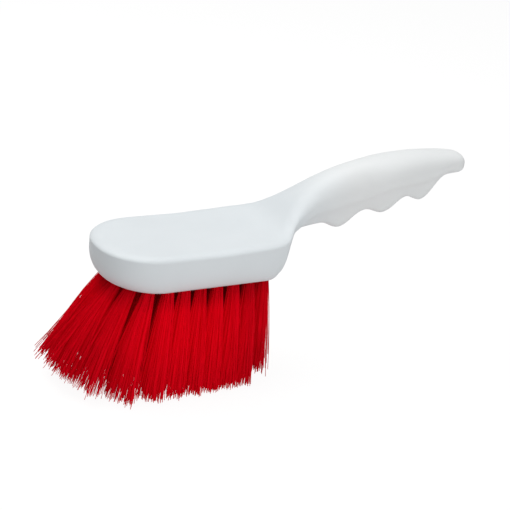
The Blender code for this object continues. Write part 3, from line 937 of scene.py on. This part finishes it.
short = draw(0.0, 1.0, 3)
height = recipe.node("ShaderNodeSeparateXYZ", None, {0: seat}, "Z") - given["Trim Height"]
fall = recipe.node("ShaderNodeSeparateXYZ", None, {0: axis}, "Z") * -1.0
whole = recipe.maths("MINIMUM", height / fall, given["Longest"])
length = whole - given["Ragged"] * short * short
wander = draw(-WANDER, WANDER, 4, "FLOAT_VECTOR")
far = recipe.maths("POWER", draw(0.0, 1.0, 5), STRAY_POWER) * STRAY_MORE + 1.0
root = recipe.vectors(
    "SUBTRACT", recipe.vectors("ADD", seat, off_axis), scaled(axis, given["Rooted"])
)
straight = recipe.vectors("ADD", seat, scaled(axis, length))
widened = recipe.vectors(
    "ADD",
    scaled(side, radius * recipe.maths("COSINE", turn) * named("fan", "FLOAT")),
    scaled(other, radius * recipe.maths("SINE", turn) * named("fan_across", "FLOAT")),
)
fanned = recipe.vectors("ADD", straight, widened)
tip = recipe.vectors("ADD", fanned, scaled(wander, given["Stray"] * far))
bent = scaled(draw((-1.0, -1.0, 0.0), (1.0, 1.0, 0.0), 6, "FLOAT_VECTOR"), given["Bow"])
sag = recipe.vectors("ADD", bent, scaled(off_axis, given["Flare"]))
straightness = recipe.maths("POWER", draw(0.0, 1.0, 8), LIMP_POWER)
droop = scaled(named("droop"), 1.0 - straightness)
sag = recipe.vectors("ADD", sag, scaled(droop, DROOP_IN_BOW))
tip = recipe.vectors("ADD", tip, droop)
table = {0: ANYWHERE, 1: ANYWHERE, 2: given["Trim Height"]}
lowest = recipe.node("ShaderNodeCombineXYZ", None, table)
tip = recipe.vectors("MAXIMUM", tip, lowest)

points = keep(copies, "root", root)
points = keep(points, "tip", tip)
points = keep(points, "sag", sag)
points = keep(points, "tone", draw(0.0, 1.0, 7), "FLOAT")
print("roots and tips are stored on", FILAMENT_SIZES["Filaments"], "copies of each seat")

# %% [markdown]
# The curve is bowed most in its middle, because its root is held. The droop enters twice:
# it moves the tip, and a quarter of it is taken out of the bow, so that a filament leaves
# its hole along the axis of the hole and curves down from there.

# %% Curves with thickness
CURVE_POINTS = 6
PROFILE_SIDES = 4

line = recipe.node("GeometryNodeCurvePrimitiveLine", None, {"End": (0.0, 0.0, 1.0)})
line = recipe.node("GeometryNodeResampleCurve", None, {"Curve": line, "Count": CURVE_POINTS})
grown = recipe.node("GeometryNodeInstanceOnPoints", None, {"Points": points, "Instance": line})
grown = recipe.node("GeometryNodeRealizeInstances", None, {"Geometry": grown})
share = recipe.node("GeometryNodeSplineParameter", None, None, "Factor")
run = recipe.vectors("SUBTRACT", named("tip"), named("root"))
bow = scaled(named("sag"), share * (1.0 - share) * 4.0)
where = recipe.vectors("ADD", recipe.vectors("ADD", named("root"), scaled(run, share)), bow)
grown = recipe.node("GeometryNodeSetPosition", None, {"Geometry": grown, "Position": where})
grown = keep(grown, "along", share, "FLOAT")
circle = {"Resolution": PROFILE_SIDES, "Radius": given["Thickness"] * 0.5}
profile = recipe.node("GeometryNodeCurvePrimitiveCircle", None, circle)
solid = recipe.node(
    "GeometryNodeCurveToMesh",
    None,
    {"Curve": grown, "Profile Curve": profile, "Fill Caps": True},
)
solid = recipe.node("GeometryNodeSetShadeSmooth", None, {"Geometry": solid})
solid = recipe.node("GeometryNodeRealizeInstances", None, {"Geometry": solid})
dressed = {"Geometry": solid, "Material": red_filament}
solid = recipe.node("GeometryNodeSetMaterial", None, dressed)
output = tree.nodes.new("NodeGroupOutput")
tree.links.new(solid.socket, output.inputs["Geometry"])
print(len(tree.nodes), "nodes grow the filaments")

# %% [markdown]
# The tree runs once for each side of the outer row and twice for the rows inside it,
# because one mesh of all the filaments would be heavier than a piece should be. The result
# is made a plain mesh at once, and the modifier goes.

# %% Grow the tufts
SIDE_FAN = 2.4  # a tuft is this many times wider at its tips than in its hole
NOSE_FAN = 3.0  # the same where it leans forwards most, along the lean
NOSE_FAN_ACROSS = 4.8  # and across the lean
SIDE_DROOP = Vector((-0.0030, 0.0, 0.0))  # of the tips at the sides
NOSE_DROOP = Vector((0.0080, 0.0, -0.0030))  # of the tips that lean forwards most
FULL_LEAN = 40.0  # degrees forwards, where the fan and the droop of the nose are reached
FAN_RATE = 90.0 / FULL_LEAN  # the fan widens over a quarter of a sine wave
UPRIGHT = 3.0  # degrees forwards, up to which a tuft doesn't droop


def droop_at(lean):
    """How far the tips droop in a tuft that leans forwards by this many degrees."""
    return SIDE_DROOP.lerp(NOSE_DROOP, lean / FULL_LEAN) * min(max(lean - UPRIGHT, 0.0), 1.0)


def seat_points(name, chosen):
    """A mesh of bare points, one for each seat, that know how their tuft leans and fans."""
    mesh = bpy.data.meshes.new(name)
    mesh.from_pydata([origin + Vector((*seats[k], 0.0)) for k in chosen], [], [])
    stored = mesh.attributes.new("axis", "FLOAT_VECTOR", "POINT")
    stored.data.foreach_set("vector", [v for k in chosen for v in axes[k]])
    forward = [max(-math.degrees(math.atan2(axes[k].x, -axes[k].z)), 0.0) for k in chosen]
    for label, widest in (("fan", NOSE_FAN), ("fan_across", NOSE_FAN_ACROSS)):
        stored = mesh.attributes.new(label, "FLOAT", "POINT")
        shares = [math.sin(math.radians(min(f, FULL_LEAN) * FAN_RATE)) for f in forward]
        stored.data.foreach_set("value", [SIDE_FAN + (widest - SIDE_FAN) * g for g in shares])
    # The inner rows are marked, so that their roots get painted shade and less glow.
    stored = mesh.attributes.new("inner", "FLOAT", "POINT")
    stored.data.foreach_set("value", [float(k >= len(outer)) for k in chosen])
    stored = mesh.attributes.new("droop", "FLOAT_VECTOR", "POINT")
    stored.data.foreach_set("vector", [v for f in forward for v in droop_at(f)])
    obj = bpy.data.objects.new(name, mesh)
    bpy.context.scene.collection.objects.link(obj)
    return obj


def grow(name, chosen, changes):
    obj = seat_points(name, chosen)
    modifier = obj.modifiers.new("filaments", "NODES")
    modifier.node_group = tree
    for item in tree.interface.items_tree:
        if item.in_out == "INPUT" and item.name in changes:
            modifier[item.identifier] = changes[item.name]
    mesh = settle(obj)
    for spare in ("root", "tip", "sag", "axis", "fan", "fan_across", "droop"):
        if spare in mesh.attributes:
            mesh.attributes.remove(mesh.attributes[spare])
    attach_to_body(obj, "root")
    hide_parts(*[tuft_nodes[k] for k in chosen])
    print(name, len(chosen), "tufts,", len(mesh.polygons), "faces")


side_count = (len(outer) - NOSE_SEATS - REAR_SEATS) // 2
near_side = range(side_count)
nose_row = range(side_count, side_count + NOSE_SEATS)
far_side = range(side_count + NOSE_SEATS, 2 * side_count + NOSE_SEATS)
rear_row = range(len(outer) - REAR_SEATS, len(outer))
inside = range(len(outer), len(seats))
grow("near_side_filaments", near_side, {"Seed": 11})
grow("nose_filaments", nose_row, {"Seed": 12, "Stray": 0.0016, "Longest": 0.0632})
grow("far_side_filaments", far_side, {"Seed": 13})
grow("rear_filaments", rear_row, {"Seed": 14, "Ragged": 0.0140})
grow("inner_filaments", inside[::2], {"Seed": 23})
grow("more_inner_filaments", inside[1::2], {"Seed": 24})

# %% [markdown]
# ## Table and light
#
# The photograph was cut out on white. The table is a plain pale floor: for the camera most
# of its brightness is its own, so that it reads as white, and the rest is lit, so that it
# keeps the shadow of the brush. Where the plastic mirrors it, only a third is its own. To
# every other ray it is an ordinary matt white board, which throws light up at the bristles
# and at the underside of the handle.

# %% Floor
FLOOR_REACH = 4.0  # metres to every side
BOARD_WHITE = (0.62, 0.62, 0.62, 1.0)
BOARD_ROUGHNESS = 0.9
BOARD_GLOW = 1.13
OWN_LIGHT_SEEN = 0.82  # share of its own light in what the camera sees
OWN_LIGHT_MIRRORED = 0.30  # and in what the plastic mirrors

corners = ((-1, -1), (1, -1), (1, 1), (-1, 1))
floor_points = [(x * FLOOR_REACH, y * FLOOR_REACH, 0.0) for x, y in corners]
floor_mesh = bpy.data.meshes.new("floor")
floor_mesh.from_pydata(floor_points, [], [(0, 1, 2, 3)])
floor = bpy.data.objects.new("floor", floor_mesh)
bpy.context.scene.collection.objects.link(floor)
white_board, recipe, shader = new_material("white_board")
shader.inputs["Base Color"].default_value = BOARD_WHITE
shader.inputs["Roughness"].default_value = BOARD_ROUGHNESS
seen = recipe.node("ShaderNodeLightPath", None, None, "Is Camera Ray")
mirrored = recipe.node("ShaderNodeLightPath", None, None, "Is Glossy Ray")
glow = recipe.node("ShaderNodeEmission", None, {"Color": (1, 1, 1, 1), "Strength": BOARD_GLOW})
board = Wire(recipe, shader.outputs[0])
own_light = seen * OWN_LIGHT_SEEN + mirrored * OWN_LIGHT_MIRRORED
mixed = recipe.node("ShaderNodeMixShader", None, {0: own_light, 1: board, 2: glow})
end = white_board.node_tree.nodes["Material Output"]
white_board.node_tree.links.new(mixed.socket, end.inputs["Surface"])
floor_mesh.materials.append(white_board)
floor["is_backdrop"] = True
print("floor of", len(floor_mesh.polygons), "face")

# %% [markdown]
# A broad lamp above and a little behind the brush is the key light, so that the top is the
# brightest plane and its rounded edges darken towards the walls. A lower lamp fills in from
# the front, and the even white of the room does the rest. The lamps are large and near, so
# no shadow has a hard edge. What the plastic mirrors of the room is kept duller than what
# the camera sees of it, because a shining white rim would hide the outline against the
# white ground.

# %% Lamps and room
LAMPS_AIM = Vector((0.0, 0.0, 0.05))
ROOM_LIGHT = 0.34  # what the room throws on the brush
ROOM_SEEN = 0.66  # what the camera sees of it beyond that, so that the ground is white
ROOM_MIRRORED = 0.30


def soft_lamp(name, place, size, power):
    data = bpy.data.lights.new(name, "AREA")
    data.shape = "DISK"
    data.size = size
    data.energy = power
    lamp = bpy.data.objects.new(name, data)
    aim = (LAMPS_AIM - Vector(place)).to_track_quat("-Z", "Y")
    lamp.matrix_world = Matrix.Translation(place) @ aim.to_matrix().to_4x4()
    bpy.context.scene.collection.objects.link(lamp)


soft_lamp("key_lamp", place=(-0.12, 0.38, 1.07), size=0.9, power=7.75)
soft_lamp("fill_lamp", place=(-0.02, -0.95, 0.38), size=0.7, power=3.45)
room = bpy.data.worlds.new("room")
room.use_nodes = True
room_light = Recipe(room.node_tree)
seen = room_light.node("ShaderNodeLightPath", None, None, "Is Camera Ray")
mirrored = room_light.node("ShaderNodeLightPath", None, None, "Is Glossy Ray")
strength = ROOM_LIGHT + seen * ROOM_SEEN + mirrored * ROOM_MIRRORED
backdrop = room.node_tree.nodes["Background"]
backdrop.inputs["Color"].default_value = (1.0, 1.0, 1.0, 1.0)
room.node_tree.links.new(strength.socket, backdrop.inputs["Strength"])
bpy.context.scene.world = room
bpy.context.scene.view_settings.view_transform = "Standard"

# %% [markdown]
# ## Sizes
#
# The boxes of the CAD model and of the visual model are both worked out and printed. The
# visual model has to keep to the box of the CAD model within a few millimetres.

# %% Finish
sizes = {
    "cad": [[float(v) for v in corner] for corner in cad_box],
    "visual": [[float(v) for v in corner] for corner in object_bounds()],
}
for name, corners in sizes.items():
    print(name, [[round(v, 4) for v in corner] for corner in corners])
